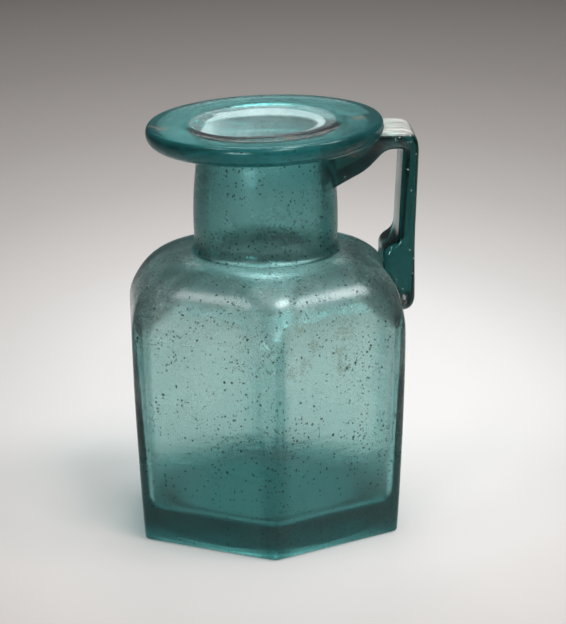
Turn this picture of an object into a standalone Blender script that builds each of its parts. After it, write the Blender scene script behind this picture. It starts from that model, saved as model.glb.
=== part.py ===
"""A hexagonal glass bottle with a broad rim, a short wide neck and one strap handle.

Sizes are in metres and +Z is up. The origin is on the bottle's axis, on the plane that it
stands on. The handle is on the +X side, in the middle of a face, so two corners of the
hexagon lie on the Y axis.
"""

import math

import bmesh
import bpy
from mathutils import Vector

# Body: a hexagonal prism that narrows to its foot. An apothem is from the axis to a face.
FOOT_APOTHEM = 0.0447
SHOULDER_APOTHEM = 0.0478
SIDE_HEIGHT = 0.0750
SIDE_BOW = 1.6
FOOT_CORNER_RADIUS = 0.0025
SHOULDER_CORNER_RADIUS = 0.0060
FOOT_EDGE_RADIUS = 0.0010
SHOULDER_RISE = 0.0238
SHOULDER_SQUARENESS = 2.3

# Neck, whose outer side swells a little above its foot. It is set slightly off the body's axis.
NECK_HEIGHT = 0.0353
NECK_FOOT_RADIUS = 0.0252
NECK_BELLY_RADIUS = 0.0255
NECK_BELLY_SHARE = 0.28
NECK_TOP_RADIUS = 0.0236
NECK_OFFSET = 0.0006
NECK_FILLET = 0.0020

# Rim: glass folded into a thick collar, which leans up towards the handle. Its top is dished.
RIM_RADIUS = 0.0417
RIM_FILLET = 0.0028
RIM_UNDER_REACH = 0.0059
RIM_UNDER_DEPTH = 0.0052
RIM_TOP_REACH = 0.0016
RIM_TOP_RISE = 0.0027
RIM_DISH = 0.0007
RIM_LEAN = math.radians(1.4)

# Funnel into the mouth, which is narrow on the side away from the handle.
FUNNEL_RADIUS = 0.0253
FUNNEL_NARROW_SIDE = 0.0007
FUNNEL_WIDE_SIDE = 0.0067
FUNNEL_DEPTH = 0.0011
THROAT_DEPTH = 0.0024

# Walls and hollow.
SIDE_WALL_TOP = 0.0026
SIDE_WALL_FOOT = 0.0036
SHOULDER_WALL = 0.0036
NECK_WALL = 0.0044
FLOOR_THICKNESS = 0.0105
FLOOR_FILLET = 0.0055
INNER_CORNER_EXTRA = 0.0020

# The circle that the mould left in the underside.
MARK_INSET = 0.0067
MARK_WIDTH = 0.0026
MARK_DEPTH = 0.0008

# Strap handle: up from the shoulder, over a bend and in under the rim to the neck.
STRAP_WIDTH = 0.0220
STRAP_FOOT_WIDTH = 0.0236
STRAP_TOE_WIDTH = 0.0180
STRAP_THICKNESS = 0.0060
STRAP_BEND_THICKNESS = 0.0072
STRAP_EDGE_RADIUS = 0.0019
STRAP_STANDOFF = 0.0047
STRAP_OVERHANG = 0.0120
STRAP_CROWN_RISE = 0.0003
STRAP_BEND_ROUNDING = 0.0085
STRAP_UNDER_LENGTH = 0.0118
STRAP_HEEL_DIP = 0.0024
STRAP_HEEL_DROP = 0.0215
STRAP_BELLY_REACH = 0.0069
STRAP_BELLY_DROP = 0.0072
STRAP_TOE_RISE = 0.0018
STRAP_TOE_ROUNDING = 0.0080
STRAP_WEB_RISE = 0.0008
STRAP_WEB_REACH = 0.0066
STRAP_WEB_ROUNDING = 0.0028
STRAP_INSIDE_ROUNDING = 0.0012
JOINT_GAP = 0.0003

# Fineness of the meshes. The corner steps are degrees from a corner of the hexagon.
CORNER_STEPS = (0.0, 1.3, 2.7, 7.0, 16.0)
FILLET_STEPS = 3
OUTER_SHOULDER_STEPS = 8
INNER_SHOULDER_STEPS = 6
NECK_STEPS = 4
ROLL_STEPS = 6
LIP_STEPS = 3
STRAP_CORNER_STEPS = 3

SIDES = 6
SECTOR = 2 * math.pi / SIDES

NECK_FOOT_HEIGHT = SIDE_HEIGHT + SHOULDER_RISE
NECK_TOP_HEIGHT = NECK_FOOT_HEIGHT + NECK_HEIGHT
RIM_HEIGHT = NECK_TOP_HEIGHT + RIM_FILLET + RIM_UNDER_DEPTH

VESSEL_COLOUR = (0.15, 0.32, 0.31, 1.0)
HANDLE_COLOUR = (0.03, 0.17, 0.16, 1.0)


class Ring:
    """One ring of the vessel: a hexagon whose corners may be rounded until it is a circle."""

    def __init__(self, height, apothem, corner=None, lean=0.0, offset=0.0):
        self.height = height
        self.apothem = apothem
        self.corner = apothem if corner is None else min(corner, apothem)
        self.lean = lean
        self.offset = offset

    def points(self):
        """The ring's points, anticlockwise from above."""
        points = []
        roundness = self.corner / self.apothem
        for near_corners, even in azimuths():
            azimuth = mixed(near_corners, even, roundness)
            reach = hexagon_reach(azimuth, self.apothem, self.corner)
            x = self.offset + reach * math.cos(azimuth)
            points.append(Vector((x, reach * math.sin(azimuth), self.height + self.lean * x)))
        return points

    def centre(self):
        """The point in the middle of the ring."""
        return Vector((self.offset, 0.0, self.height + self.lean * self.offset))


def azimuths():
    """Pairs of azimuths all round: one of each pair closer to a corner, the other evenly spaced."""
    steps = [math.radians(step) for step in CORNER_STEPS]
    around_corner = [-step for step in reversed(steps[1:])] + steps
    turns = []
    for side_number in range(SIDES):
        corner = (side_number + 0.5) * SECTOR
        turns += [corner - SECTOR / 2] + [corner + step for step in around_corner]
    return [(turn, 2 * math.pi * i / len(turns)) for i, turn in enumerate(turns)]


def hexagon_reach(azimuth, apothem, corner):
    """How far a hexagon with rounded corners reaches from its centre at an azimuth."""
    past_corner = abs(azimuth % SECTOR - SECTOR / 2)
    centre = (apothem - corner) / math.cos(SECTOR / 2)
    along = centre + corner * math.cos(SECTOR / 2)
    if past_corner < math.atan2(corner * math.sin(SECTOR / 2), along):
        across = centre * math.sin(past_corner)
        return centre * math.cos(past_corner) + math.sqrt(corner**2 - across**2)
    return apothem / math.cos(SECTOR / 2 - past_corner)


def mixed(start, end, share):
    """The value that far between two."""
    return start + (end - start) * share


def arc(centre, radii, start, end, steps):
    """Points (reach, height) along part of an ellipse, its angles in degrees."""
    points = []
    for step in range(steps + 1):
        angle = math.radians(mixed(start, end, step / steps))
        reach = centre[0] + radii[0] * math.cos(angle)
        points.append((reach, centre[1] + radii[1] * math.sin(angle)))
    return points


def underside():
    """The flat base with its moulded circle, from near the axis outwards."""
    radius = FOOT_APOTHEM - MARK_INSET
    half = MARK_WIDTH / 2
    rings = [Ring(0.0, radius / 2), Ring(0.0, radius - half)]
    rings += [Ring(MARK_DEPTH, radius - half / 2), Ring(MARK_DEPTH, radius + half / 2)]
    return rings + [Ring(0.0, radius + half)]


def foot_edge():
    """The small radius between the underside and the sides."""
    centre = (FOOT_APOTHEM - FOOT_EDGE_RADIUS, FOOT_EDGE_RADIUS)
    curve = arc(centre, (FOOT_EDGE_RADIUS, FOOT_EDGE_RADIUS), -90, 0, FILLET_STEPS)
    return [Ring(z, reach, FOOT_CORNER_RADIUS) for reach, z in curve]


def side(height, wall=0.0, extra_corner=0.0):
    """A ring of the sides, which bow out on their way up, moved in by a wall."""
    share = height / SIDE_HEIGHT
    apothem = SHOULDER_APOTHEM - (SHOULDER_APOTHEM - FOOT_APOTHEM) * (1 - share) ** SIDE_BOW
    corner = mixed(FOOT_CORNER_RADIUS, SHOULDER_CORNER_RADIUS, share)
    return Ring(height, apothem - wall, corner + extra_corner)


def shoulder_curve(top, wide, neck, corner, steps):
    """A quarter of an ellipse from a hexagonal side up to a round neck."""
    rings = []
    curve = arc((neck, SIDE_HEIGHT), (wide - neck, top - SIDE_HEIGHT), 0, 90, steps)
    for step, (apothem, height) in enumerate(curve):
        share = step / steps
        roundness = share**SHOULDER_SQUARENESS
        ring = Ring(height, apothem, mixed(corner, apothem, roundness), offset=NECK_OFFSET * share)
        rings.append(ring)
    return rings


def neck_fillet():
    """The hollow corner between the shoulder and the neck."""
    centre = (NECK_FOOT_RADIUS + NECK_FILLET, NECK_FOOT_HEIGHT + NECK_FILLET)
    curve = arc(centre, (NECK_FILLET, NECK_FILLET), -90, -180, FILLET_STEPS)
    return [Ring(z, reach, offset=NECK_OFFSET) for reach, z in curve[1:-1]]


def neck_radius(share):
    """The neck's outer radius at a share of its height: a parabola through its three sizes."""
    rise = NECK_BELLY_RADIUS - NECK_FOOT_RADIUS
    fall = NECK_TOP_RADIUS - NECK_FOOT_RADIUS
    bend = (rise - fall * NECK_BELLY_SHARE) / (NECK_BELLY_SHARE * (NECK_BELLY_SHARE - 1))
    return NECK_FOOT_RADIUS + (fall - bend) * share + bend * share**2


def neck_side(wall=0.0):
    """The neck's side from its foot to its top, moved in by a wall for the bore."""
    rings = []
    for step in range(NECK_STEPS + 1):
        share = step / NECK_STEPS
        height = mixed(NECK_FOOT_HEIGHT + NECK_FILLET, NECK_TOP_HEIGHT, share)
        rings.append(Ring(height, neck_radius(share) - wall, offset=NECK_OFFSET))
    return rings


def rim_ring(reach, above, shift=0.0):
    """A ring of the leaning rim, at a height above its widest line."""
    return Ring(RIM_HEIGHT + above, reach, lean=math.tan(RIM_LEAN), offset=NECK_OFFSET + shift)


def rim_outside():
    """The rim from the neck out under its collar, round its edge and over its dished top."""
    fillet = (NECK_TOP_RADIUS + RIM_FILLET, -RIM_UNDER_DEPTH - RIM_FILLET)
    curve = arc(fillet, (RIM_FILLET, RIM_FILLET), 180, 90, FILLET_STEPS)[1:]
    under = (RIM_RADIUS - RIM_UNDER_REACH, 0.0)
    curve += arc(under, (RIM_UNDER_REACH, RIM_UNDER_DEPTH), -90, 0, ROLL_STEPS)
    crest = RIM_RADIUS - RIM_TOP_REACH
    curve += arc((crest, 0.0), (RIM_TOP_REACH, RIM_TOP_RISE), 0, 90, LIP_STEPS)[1:]
    curve.append((mixed(crest, FUNNEL_RADIUS, 0.3), RIM_TOP_RISE - RIM_DISH * 0.6))
    curve.append((mixed(crest, FUNNEL_RADIUS, 0.7), RIM_TOP_RISE - RIM_DISH))
    return [rim_ring(reach, above) for reach, above in curve]


def mouth():
    """The funnel's raised edge, and the funnel down to the bore, set to one side."""
    radius = FUNNEL_RADIUS - (FUNNEL_NARROW_SIDE + FUNNEL_WIDE_SIDE) / 2
    shift = (FUNNEL_NARROW_SIDE - FUNNEL_WIDE_SIDE) / 2
    lip = RIM_TOP_RISE - RIM_DISH - FUNNEL_DEPTH
    bore = NECK_TOP_RADIUS - NECK_WALL
    rings = [rim_ring(FUNNEL_RADIUS, RIM_TOP_RISE - RIM_DISH * 0.6), rim_ring(radius, lip, shift)]
    for share, above in ((0.4, lip - THROAT_DEPTH), (0.8, -RIM_UNDER_DEPTH)):
        rings.append(rim_ring(mixed(radius, bore, share), above, shift * (1 - share)))
    return rings


def hollow():
    """The inside from the neck's bore down to the floor."""
    bore = list(reversed(neck_side(NECK_WALL)))[1:-1]
    wide = SHOULDER_APOTHEM - SIDE_WALL_TOP
    neck = NECK_FOOT_RADIUS - NECK_WALL
    corner = SHOULDER_CORNER_RADIUS + INNER_CORNER_EXTRA
    shoulder = shoulder_curve(NECK_FOOT_HEIGHT - SHOULDER_WALL, wide, neck, corner, INNER_SHOULDER_STEPS)
    rings = bore + list(reversed(shoulder))
    low = FLOOR_THICKNESS + FLOOR_FILLET
    for share in (1 / 3, 2 / 3):
        wall = mixed(SIDE_WALL_TOP, SIDE_WALL_FOOT, share)
        rings.append(side(mixed(SIDE_HEIGHT, low, share), wall, INNER_CORNER_EXTRA))
    foot = side(low, SIDE_WALL_FOOT, INNER_CORNER_EXTRA)
    curve = arc((foot.apothem - FLOOR_FILLET, low), (FLOOR_FILLET, FLOOR_FILLET), 0, -90, FILLET_STEPS)
    rings += [Ring(z, reach, foot.corner) for reach, z in curve]
    return rings + [Ring(FLOOR_THICKNESS, foot.apothem / 2)]


def outside():
    """Every ring of the outer surface, from the underside up to the rim's top."""
    rings = underside() + foot_edge() + [side(SIDE_HEIGHT / 3), side(SIDE_HEIGHT * 2 / 3)]
    neck = NECK_FOOT_RADIUS + NECK_FILLET
    rings += shoulder_curve(
        NECK_FOOT_HEIGHT, SHOULDER_APOTHEM, neck, SHOULDER_CORNER_RADIUS, OUTER_SHOULDER_STEPS
    )
    return rings + neck_fillet() + neck_side() + rim_outside()


def skin(mesh, loops):
    """Joins each loop of vertices to the next with quads."""
    count = len(loops[0])
    for low, high in zip(loops, loops[1:]):
        for i in range(count):
            j = (i + 1) % count
            mesh.faces.new((low[i], low[j], high[j], high[i]))


def shell(name, rings, colour):
    """A closed mesh through the rings, with a fan of triangles at each end."""
    mesh = bmesh.new()
    loops = [[mesh.verts.new(point) for point in ring.points()] for ring in rings]
    skin(mesh, loops)
    for loop, ring in ((loops[0], rings[0]), (loops[-1], rings[-1])):
        middle = mesh.verts.new(ring.centre())
        for start, end in zip(loop, loop[1:] + loop[:1]):
            mesh.faces.new((start, end, middle))
    return finished(name, mesh, colour)


def finished(name, mesh, colour):
    """Turns a bmesh into a smooth shaded object with glass of its own colour."""
    bmesh.ops.recalc_face_normals(mesh, faces=mesh.faces)
    data = bpy.data.meshes.new(name)
    mesh.to_mesh(data)
    mesh.free()
    data.shade_smooth()
    data.set_sharp_from_angle(angle=math.radians(40))
    data.materials.append(glass(name + "_glass", colour))
    thing = bpy.data.objects.new(name, data)
    bpy.context.scene.collection.objects.link(thing)
    return thing


def glass(name, colour):
    """Blue-green glass with a dulled surface."""
    material = bpy.data.materials.new(name)
    material.use_nodes = True
    shader = material.node_tree.nodes["Principled BSDF"]
    shader.inputs["Base Color"].default_value = colour
    shader.inputs["Roughness"].default_value = 0.25
    shader.inputs["Metallic"].default_value = 0.0
    shader.inputs["IOR"].default_value = 1.5
    return material


def strap_corners():
    """The strap's corners from heel to toe: outer x, z, rounding, inner x, z, rounding and width."""
    heel = NECK_OFFSET + NECK_TOP_RADIUS - NECK_WALL / 2
    crown = RIM_HEIGHT + STRAP_CROWN_RISE
    under = crown - STRAP_BEND_THICKNESS
    bend = NECK_OFFSET + RIM_RADIUS + STRAP_OVERHANG
    back = SHOULDER_APOTHEM + STRAP_STANDOFF
    web = NECK_FOOT_HEIGHT + STRAP_WEB_RISE
    web_end = SHOULDER_APOTHEM - STRAP_WEB_REACH
    toe = SIDE_HEIGHT + STRAP_TOE_RISE
    inside = bend - STRAP_THICKNESS
    front = back - STRAP_THICKNESS
    turn = bend - STRAP_UNDER_LENGTH
    belly = turn - STRAP_BELLY_REACH
    round_web = STRAP_WEB_ROUNDING
    round_toe = STRAP_TOE_ROUNDING
    return [
        (heel, crown - STRAP_HEEL_DIP, 0, heel, RIM_HEIGHT - STRAP_HEEL_DROP, 0, STRAP_WIDTH),
        (belly, crown, round_web, belly, under - STRAP_BELLY_DROP, round_web, STRAP_WIDTH),
        (mixed(belly, bend, 0.15), crown, round_web, turn, under, round_web, STRAP_WIDTH),
        (bend, crown, STRAP_BEND_ROUNDING, inside, under, STRAP_INSIDE_ROUNDING, STRAP_WIDTH),
        (back, web + round_web, round_toe, front, web, round_web, STRAP_FOOT_WIDTH),
        (back, mixed(web, toe, 0.4), round_web, web_end, web, round_web, STRAP_FOOT_WIDTH),
        (back, toe, round_toe, web_end, mixed(toe, web, 0.3), round_web, STRAP_FOOT_WIDTH),
        (web_end, toe, 0, web_end, mixed(toe, web, 0.1), 0, STRAP_TOE_WIDTH),
    ]


def towards(corner, point, distance):
    """The point that distance from a corner towards another point, short of half the way."""
    way = point - corner
    return corner + way.normalized() * min(distance, way.length * 0.45)


def rounded_path(corners):
    """A path through corners (x, half width, z), each rounded by a parabola of its own length."""
    path = [corners[0][0]]
    for (before, _), (corner, rounding), (after, _) in zip(corners, corners[1:], corners[2:]):
        start, end = (towards(corner, point, rounding) for point in (before, after))
        for step in range(STRAP_CORNER_STEPS + 1):
            t = step / STRAP_CORNER_STEPS
            path.append(start * (1 - t) ** 2 + corner * 2 * t * (1 - t) + end * t**2)
    return path + [corners[-1][0]]


def strap_section(outer, inner):
    """A flat section with rounded edges between a point of each rail."""
    half_width = outer.y
    middle = Vector(((outer.x + inner.x) / 2, 0.0, (outer.z + inner.z) / 2))
    across = Vector((outer.x, 0.0, outer.z)) - middle
    edge = min(STRAP_EDGE_RADIUS, across.length * 0.9)
    points = []
    for quarter, (up, aside) in enumerate(((1, 1), (-1, 1), (-1, -1), (1, -1))):
        for step in range(FILLET_STEPS + 1):
            turn = math.radians(90 - 90 * (quarter + step / FILLET_STEPS))
            reach = up * (across.length - edge) + edge * math.sin(turn)
            shift = aside * (half_width - edge) + edge * math.cos(turn)
            points.append(middle + across.normalized() * reach + Vector((0.0, shift, 0.0)))
    return points


def strap():
    """The handle, both of whose ends run on into the vessel's glass until they are cut."""
    corners = strap_corners()
    outer = rounded_path([(Vector((x, width / 2, z)), cut) for x, z, cut, _, _, _, width in corners])
    inner = rounded_path([(Vector((x, width / 2, z)), cut) for _, _, _, x, z, cut, width in corners])
    mesh = bmesh.new()
    loops = [[mesh.verts.new(point) for point in strap_section(*pair)] for pair in zip(outer, inner)]
    skin(mesh, loops)
    mesh.faces.new(loops[0])
    mesh.faces.new(loops[-1])
    return finished("handle", mesh, HANDLE_COLOUR)


def seat_on_vessel(handle):
    """Cuts the handle to the vessel's outer surface, a joint's gap away from it."""
    cap = [rim_ring(FUNNEL_RADIUS / 2, RIM_TOP_RISE - RIM_DISH)]
    envelope = shell("vessel_envelope", outside() + cap, VESSEL_COLOUR)
    envelope.hide_render = True
    envelope.display_type = "WIRE"
    growth = envelope.modifiers.new("joint_gap", "DISPLACE")
    growth.strength = JOINT_GAP
    growth.mid_level = 0.0
    cut = handle.modifiers.new("seat_on_vessel", "BOOLEAN")
    cut.operation = "DIFFERENCE"
    cut.object = envelope


def build():
    """Clears the scene and makes the bottle."""
    for thing in list(bpy.data.objects):
        bpy.data.objects.remove(thing)
    shell("vessel", outside() + mouth() + hollow(), VESSEL_COLOUR)
    seat_on_vessel(strap())


build()
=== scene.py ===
"""A dulled and pitted hexagonal glass bottle with a strap handle, on pale studio paper.

Sizes are in metres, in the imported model's own frame: +Z is up, the origin is on the
bottle's axis on the plane that it stands on, and the handle is on the +X side.
"""

from __future__ import annotations

import logging
import math
from collections.abc import Callable, Sequence
from dataclasses import dataclass, field

import bmesh
import bpy
from mathutils import Matrix, Vector, noise

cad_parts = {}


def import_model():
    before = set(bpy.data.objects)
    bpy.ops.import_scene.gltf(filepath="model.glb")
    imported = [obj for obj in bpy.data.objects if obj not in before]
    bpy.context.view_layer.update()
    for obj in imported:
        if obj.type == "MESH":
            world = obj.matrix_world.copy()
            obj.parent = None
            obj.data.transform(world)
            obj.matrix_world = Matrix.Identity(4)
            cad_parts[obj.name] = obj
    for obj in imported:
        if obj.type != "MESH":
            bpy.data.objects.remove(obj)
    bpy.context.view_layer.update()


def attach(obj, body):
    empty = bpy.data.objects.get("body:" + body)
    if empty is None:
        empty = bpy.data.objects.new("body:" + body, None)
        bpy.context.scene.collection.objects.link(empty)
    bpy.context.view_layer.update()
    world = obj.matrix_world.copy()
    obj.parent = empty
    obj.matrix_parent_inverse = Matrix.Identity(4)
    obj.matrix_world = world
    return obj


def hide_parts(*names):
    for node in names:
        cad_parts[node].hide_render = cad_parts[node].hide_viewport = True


LOG = logging.getLogger("bottle")

SIDES = 6
SECTOR = 2 * math.pi / SIDES
# Heights between which the rim starts, the body ends and the shoulder starts.
RIM_FOOT = (0.134, 0.138)
BODY_END = (0.094, 0.101)
SHOULDER = (0.078, 0.088)

Colour = tuple[float, float, float]
Spots = tuple[tuple[Colour, float], ...]
Socket = bpy.types.NodeSocket
Layers = list[tuple[object, Colour]]


def mixed(start: float, end: float, share: float) -> float:
    """The value that far between two."""
    return start + (end - start) * share


def eased(share: float) -> float:
    """A share from 0 to 1 with a soft start and end."""
    share = min(1.0, max(0.0, share))
    return share * share * (3 - 2 * share)


def arc(
    centre: tuple[float, float], radii: tuple[float, float], start: float, end: float, steps: int
) -> list[tuple[float, float]]:
    """Points along part of an ellipse.

    Args:
        centre: The ellipse's centre, as reach and height.
        radii: Its two radii.
        start: The first angle, in degrees.
        end: The last angle, in degrees.
        steps: How many steps lie between them.

    Returns:
        The points, as reach and height.
    """
    turns = [math.radians(mixed(start, end, step / steps)) for step in range(steps + 1)]
    (reach, height), (wide, tall) = centre, radii
    return [(reach + wide * math.cos(turn), height + tall * math.sin(turn)) for turn in turns]


def deselect() -> None:
    """Leaves object mode with nothing selected, so that the next operator acts on new things."""
    if bpy.context.object and bpy.context.object.mode != "OBJECT":
        bpy.ops.object.mode_set(mode="OBJECT")
    bpy.ops.object.select_all(action="DESELECT")


def activate(thing: bpy.types.Object) -> None:
    """Makes one object the only one selected, and the active one."""
    deselect()
    thing.select_set(True)
    bpy.context.view_layer.objects.active = thing


def choose(thing: bpy.types.Object, rule: Callable[[bmesh.types.BMVert], bool]) -> None:
    """Selects only the vertices that a rule picks, in edit mode.

    Args:
        thing: The object in edit mode.
        rule: Says whether a vertex is picked.
    """
    bpy.ops.mesh.select_all(action="DESELECT")
    mesh = bmesh.from_edit_mesh(thing.data)
    mesh.verts.index_update()
    for vertex in mesh.verts:
        vertex.select = rule(vertex)
    mesh.select_flush(True)
    bmesh.update_edit_mesh(thing.data)


def swell(thing: bpy.types.Object, amount: float) -> None:
    """Moves an object's skin outwards by an amount."""
    activate(thing)
    growth = thing.modifiers.new("growth", "DISPLACE")
    growth.strength = amount
    growth.mid_level = 0.0
    bpy.ops.object.modifier_apply(modifier=growth.name)


def dress(thing: bpy.types.Object, material: bpy.types.Material) -> None:
    """Gives an object one material."""
    thing.data.materials.clear()
    thing.data.materials.append(material)


class Nodes:
    """A node tree with short calls to add and join its nodes."""

    def __init__(self, tree: bpy.types.NodeTree) -> None:
        """Keeps the tree that the calls work on."""
        self.tree = tree

    def feed(self, node: bpy.types.Node, inputs: dict) -> None:
        """Gives a node's inputs, by name or number, their values or the sockets that drive them."""
        for name, value in inputs.items():
            if isinstance(value, Socket):
                self.tree.links.new(value, node.inputs[name])
            else:
                node.inputs[name].default_value = value

    def add(self, kind: str, inputs: dict | None = None, **settings: object) -> bpy.types.Node:
        """Adds a node.

        Args:
            kind: The node's type name, without its prefix.
            inputs: Values or sockets for its inputs, by name or number.
            **settings: The node's own properties.

        Returns:
            The node.
        """
        node = self.tree.nodes.new("ShaderNode" + kind)
        for name, value in settings.items():
            setattr(node, name, value)
        self.feed(node, inputs or {})
        return node

    def math(self, operation: str, *values: object) -> Socket:
        """A Math node's result."""
        return self.add("Math", dict(enumerate(values)), operation=operation).outputs[0]

    def vector(self, operation: str, *values: object) -> Socket:
        """The number that a Vector Math node gives."""
        return self.add("VectorMath", dict(enumerate(values)), operation=operation).outputs["Value"]

    def times(self, product: object, *factors: object) -> Socket:
        """The product of two or more numbers."""
        for factor in factors:
            product = self.math("MULTIPLY", product, factor)
        return product

    def rest(self, value: object) -> Socket:
        """What a mask leaves over."""
        return self.math("SUBTRACT", 1.0, value)

    def ramp(
        self, value: object, low: float, high: float, start: float = 0.0, end: float = 1.0
    ) -> Socket:
        """A value eased from one range into another.

        Args:
            value: The socket to read.
            low: Where the ease starts.
            high: Where it ends.
            start: The result at its start.
            end: The result at its end.

        Returns:
            The result's socket.
        """
        inputs = {"Value": value, "From Min": low, "From Max": high, "To Min": start, "To Max": end}
        node = self.add("MapRange", inputs, interpolation_type="SMOOTHSTEP")
        return node.outputs["Result"]

    def fall(self, value: object, low: float, high: float) -> Socket:
        """A mask that is 1 up to a low value and eases to 0 at a high one."""
        return self.ramp(value, low, high, 1.0, 0.0)

    def mix(self, share: object, first: object, second: object) -> Socket:
        """A colour between two."""
        node = self.add("Mix", {0: share}, data_type="RGBA")
        for name, value in (("A", first), ("B", second)):
            socket = next(s for s in node.inputs if s.name == name and s.type == "RGBA")
            if isinstance(value, Socket):
                self.tree.links.new(value, socket)
            else:
                socket.default_value = (*value, 1.0)
        return next(s for s in node.outputs if s.type == "RGBA")

    def between(self, share: object, first: object, second: object) -> Socket:
        """A number between two."""
        return self.add("Mix", {0: share, 2: first, 3: second}, data_type="FLOAT").outputs[0]

    def noise(self, place: object, scale: float, detail: float = 3.0, rough: float = 0.5) -> Socket:
        """A Noise texture's value.

        Args:
            place: The socket of the coordinates.
            scale: Its scale, in waves per metre.
            detail: How many octaves it has.
            rough: How strong the finer octaves are.

        Returns:
            The value's socket.
        """
        inputs = {"Vector": place, "Scale": scale, "Detail": detail, "Roughness": rough}
        return self.add("TexNoise", inputs).outputs[0]

    def group(self, tree: bpy.types.NodeTree, place: object, **numbers: float) -> Socket:
        """Places one of the shared node groups.

        Args:
            tree: The group.
            place: The socket of its coordinates.
            **numbers: Its other inputs.

        Returns:
            The socket of its mask.
        """
        inputs = {"Place": place, **numbers}
        return self.add("Group", inputs, node_tree=tree).outputs["Mask"]

    def moved(
        self, place: object, turn: Sequence[float] = (0, 0, 0), scale: Sequence[float] = (1, 1, 1)
    ) -> Socket:
        """Coordinates turned, in degrees, and scaled."""
        turns = tuple(math.radians(angle) for angle in turn)
        inputs = {"Vector": place, "Rotation": turns, "Scale": tuple(scale)}
        return self.add("Mapping", inputs).outputs[0]

    def flat(self, place: object) -> Socket:
        """Coordinates without their height."""
        return self.moved(place, scale=(1.0, 1.0, 0.0))

    def height(self, place: object) -> Socket:
        """How high coordinates are."""
        return self.add("SeparateXYZ", {0: place}).outputs[2]


def start_material(name: str) -> tuple[bpy.types.Material, Nodes, bpy.types.Node, Socket]:
    """Starts a material.

    Args:
        name: Its name.

    Returns:
        The material, its nodes, its shader and the socket of the Object coordinates.
    """
    material = bpy.data.materials.new(name)
    material.use_nodes = True
    nodes = Nodes(material.node_tree)
    place = nodes.add("TexCoord").outputs["Object"]
    return material, nodes, nodes.tree.nodes["Principled BSDF"], place


class SurfaceGroups:
    """The node groups that the finishes share, each built once and each giving one mask."""

    WOBBLE_SCALE = 1300.0
    WOBBLE = 0.0006
    PATCH_SCALE = 70.0
    STROKE_STRETCH = 0.045
    BREAK_SCALE = 1500.0
    ARRIS_WAYS = ((1.0, 0.0, 0.0), (0.5, 0.866, 0.0), (0.5, -0.866, 0.0))

    def __init__(self) -> None:
        """Builds every group."""
        self.pits = self.build_pits()
        self.scratches = self.build_scratches()
        self.arris = self.build_arris()

    @staticmethod
    def start(name: str, inputs: dict[str, float]) -> tuple[Nodes, dict[str, Socket]]:
        """Starts a group with a vector input, number inputs and a mask as its output.

        Args:
            name: The group's name.
            inputs: Its number inputs and their usual values.

        Returns:
            Its nodes, and its inputs' sockets inside the group.
        """
        tree = bpy.data.node_groups.new(name, "ShaderNodeTree")
        tree.interface.new_socket("Place", in_out="INPUT", socket_type="NodeSocketVector")
        for label, value in inputs.items():
            socket = tree.interface.new_socket(label, in_out="INPUT", socket_type="NodeSocketFloat")
            socket.default_value = value
        tree.interface.new_socket("Mask", in_out="OUTPUT", socket_type="NodeSocketFloat")
        inside = tree.nodes.new("NodeGroupInput").outputs
        return Nodes(tree), {socket.name: socket for socket in inside if socket.name}

    @staticmethod
    def end(nodes: Nodes, mask: Socket) -> bpy.types.NodeTree:
        """Joins a group's mask to its output, and gives the group's tree."""
        nodes.feed(nodes.tree.nodes.new("NodeGroupOutput"), {"Mask": mask})
        return nodes.tree

    def build_pits(self) -> bpy.types.NodeTree:
        """Small pits scattered unevenly."""
        nodes, given = self.start("burial_pits", {"Scale": 400.0, "Share": 0.3, "Size": 0.3})
        wave = {"Vector": given["Place"], "Scale": self.WOBBLE_SCALE, "Detail": 0.0}
        wobble = nodes.add("TexNoise", wave).outputs["Color"]
        shift = nodes.add("VectorMath", {0: wobble, "Scale": self.WOBBLE}, operation="SCALE")
        moved = {0: given["Place"], 1: shift.outputs[0]}
        place = nodes.add("VectorMath", moved, operation="ADD").outputs[0]
        cells = nodes.add("TexVoronoi", {"Vector": place, "Scale": given["Scale"]})
        chance = nodes.add("SeparateColor", {0: cells.outputs["Color"]})
        patchy = nodes.noise(given["Place"], self.PATCH_SCALE, 1.0, 0.6)
        share = nodes.times(given["Share"], nodes.ramp(patchy, 0.35, 0.65, 0.25, 1.9))
        chosen = nodes.math("LESS_THAN", chance.outputs[0], share)
        radius = nodes.times(given["Size"], nodes.ramp(chance.outputs[1], 0.0, 1.0, 0.35, 1.0))
        hole = nodes.fall(nodes.math("DIVIDE", cells.outputs["Distance"], radius), 0.45, 1.0)
        return self.end(nodes, nodes.times(hole, chosen))

    def build_scratches(self) -> bpy.types.NodeTree:
        """Short straight lines along the coordinates' X."""
        nodes, given = self.start("scratches", {"Scale": 300.0, "Share": 0.1})
        stretched = nodes.moved(given["Place"], scale=(self.STROKE_STRETCH, 1.0, 1.0))
        cells = nodes.add("TexVoronoi", {"Vector": stretched, "Scale": given["Scale"]})
        chance = nodes.add("SeparateColor", {0: cells.outputs["Color"]})
        chosen = nodes.math("LESS_THAN", chance.outputs[0], given["Share"])
        breaks = nodes.ramp(nodes.noise(given["Place"], self.BREAK_SCALE, 2.0), 0.35, 0.5)
        line = nodes.fall(cells.outputs["Distance"], 0.05, 0.12)
        return self.end(nodes, nodes.times(line, chosen, breaks))

    def build_arris(self) -> bpy.types.NodeTree:
        """1 along the hexagon's arrises and 0 on its faces."""
        nodes, given = self.start("arris", {"Start": 1.085, "Full": 1.12})
        flat = nodes.flat(given["Place"])
        widest = 0.0
        for way in self.ARRIS_WAYS:
            along = nodes.math("ABSOLUTE", nodes.vector("DOT_PRODUCT", flat, way))
            widest = nodes.math("MAXIMUM", widest, along)
        ratio = nodes.math("DIVIDE", nodes.vector("LENGTH", flat), widest)
        inputs = {"Value": ratio, "From Min": given["Start"], "From Max": given["Full"]}
        return self.end(nodes, nodes.add("MapRange", inputs).outputs["Result"])


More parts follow.
